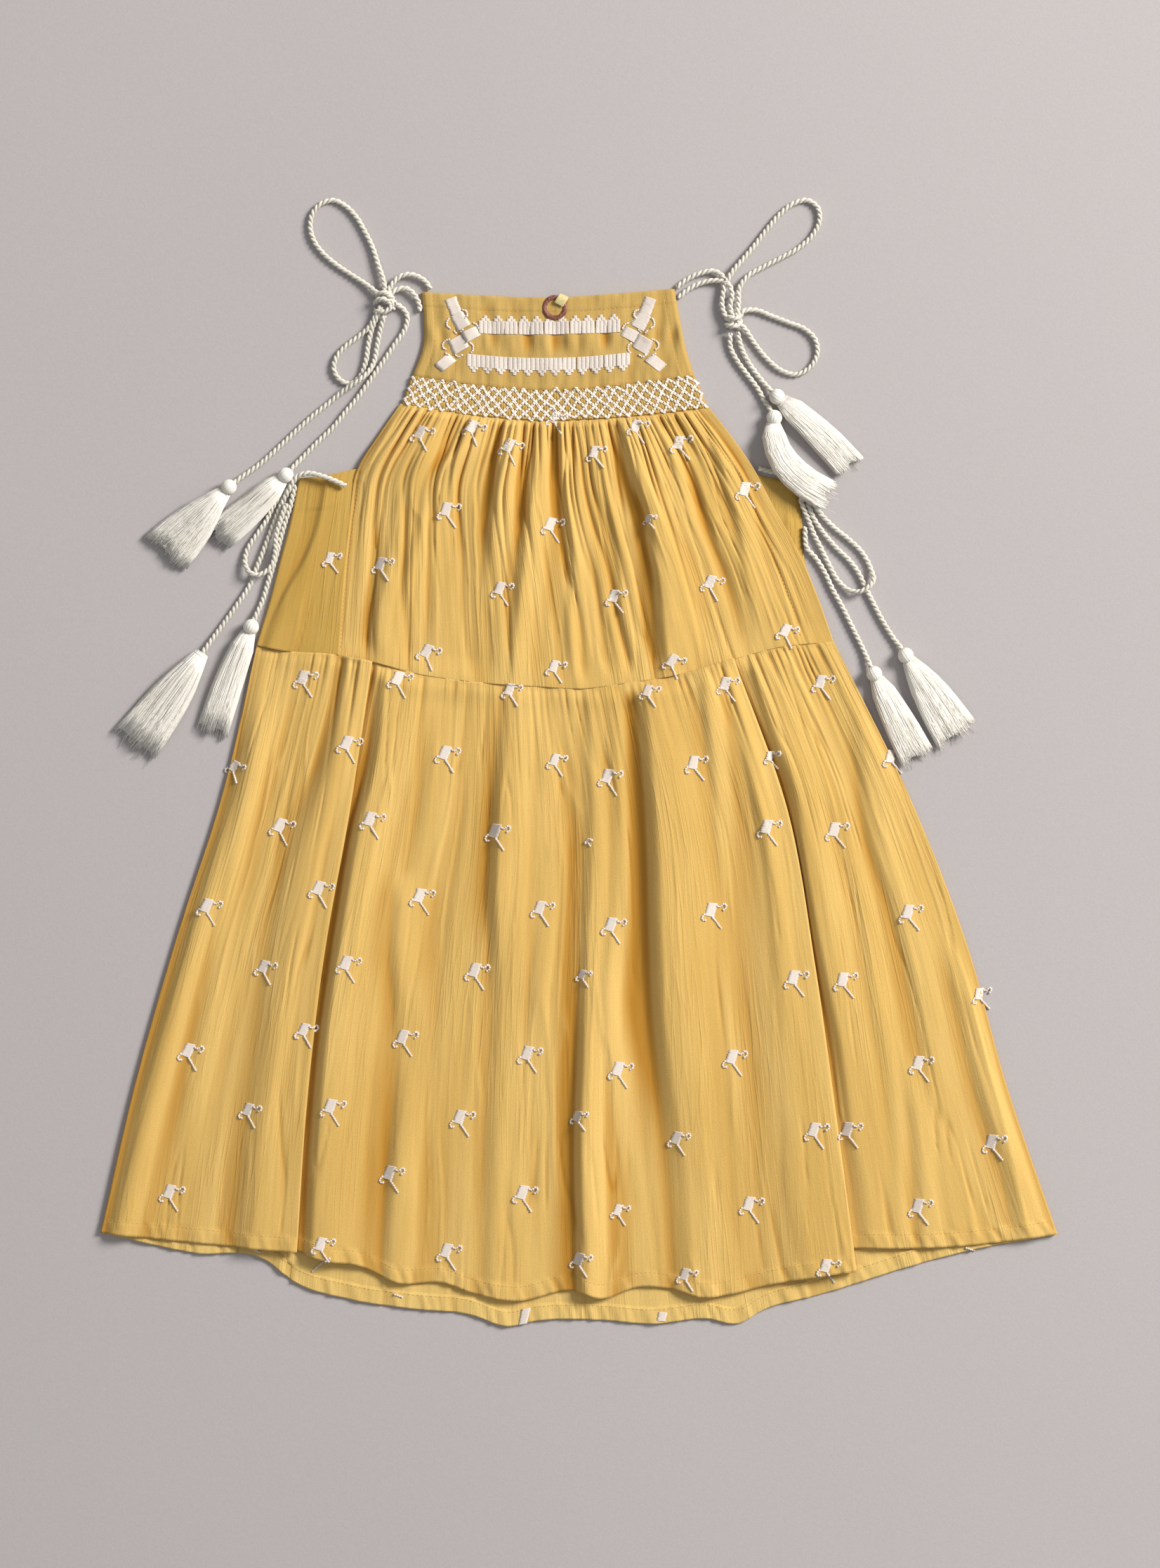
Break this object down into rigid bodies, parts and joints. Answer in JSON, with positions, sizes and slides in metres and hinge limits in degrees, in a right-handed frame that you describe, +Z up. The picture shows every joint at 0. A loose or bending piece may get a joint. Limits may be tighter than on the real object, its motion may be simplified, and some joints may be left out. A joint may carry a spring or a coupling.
{
  "type": "child's halter dress",
  "caption": "Flat-laid child's sleeveless halter dress in crinkle gauze with a smocked yoke, gathered tier, tasselled shoulder and side ties and small sprig embroidery.",
  "frame": {"origin": "middle of the dress's bounding box, without the free cords and tassels, on the surface it lies on", "axes": "+X to the wearer's left as the dress lies front up, +Y from hem to neck, +Z up off the surface"},
  "size_m": [0.558, 0.6567, 0.01],
  "materials": {
    "gauze": "matte crinkled cotton gauze, mustard yellow",
    "smocking": "mustard gauze with ecru smocking threads",
    "ring": "satin turned reddish brown ring",
    "ribbon": "pale yellow satin tape",
    "cord": "matte twisted cream cotton cord",
    "yarn": "matte cream cotton yarn"
  },
  "bodies": {
    "root": {"front_yoke": "gauze", "smocked_band": "smocking", "front_bodice": "gauze", "back_bodice": "gauze", "front_skirt": "gauze", "back_skirt": "gauze", "neck_ring": "ring", "neck_ribbon": "ribbon", "bow_shoulder_left": "cord", "bow_shoulder_right": "cord", "tail_shoulder_left_outer": "cord", "tail_shoulder_left_inner": "cord", "tail_shoulder_right_outer": "cord", "tail_shoulder_right_inner": "cord", "tie_side_left_outer": "cord", "tie_side_left_inner": "cord", "tie_side_left_loop": "cord", "tie_side_right_outer": "cord", "tie_side_right_inner": "cord", "tie_side_right_loop": "cord", "tassel_shoulder_left_outer": "yarn", "tassel_shoulder_left_inner": "yarn", "tassel_side_left_outer": "yarn", "tassel_side_left_inner": "yarn", "tassel_shoulder_right_outer": "yarn", "tassel_shoulder_right_inner": "yarn", "tassel_side_right_inner": "yarn", "tassel_side_right_outer": "yarn"}
  },
  "joints": []
}
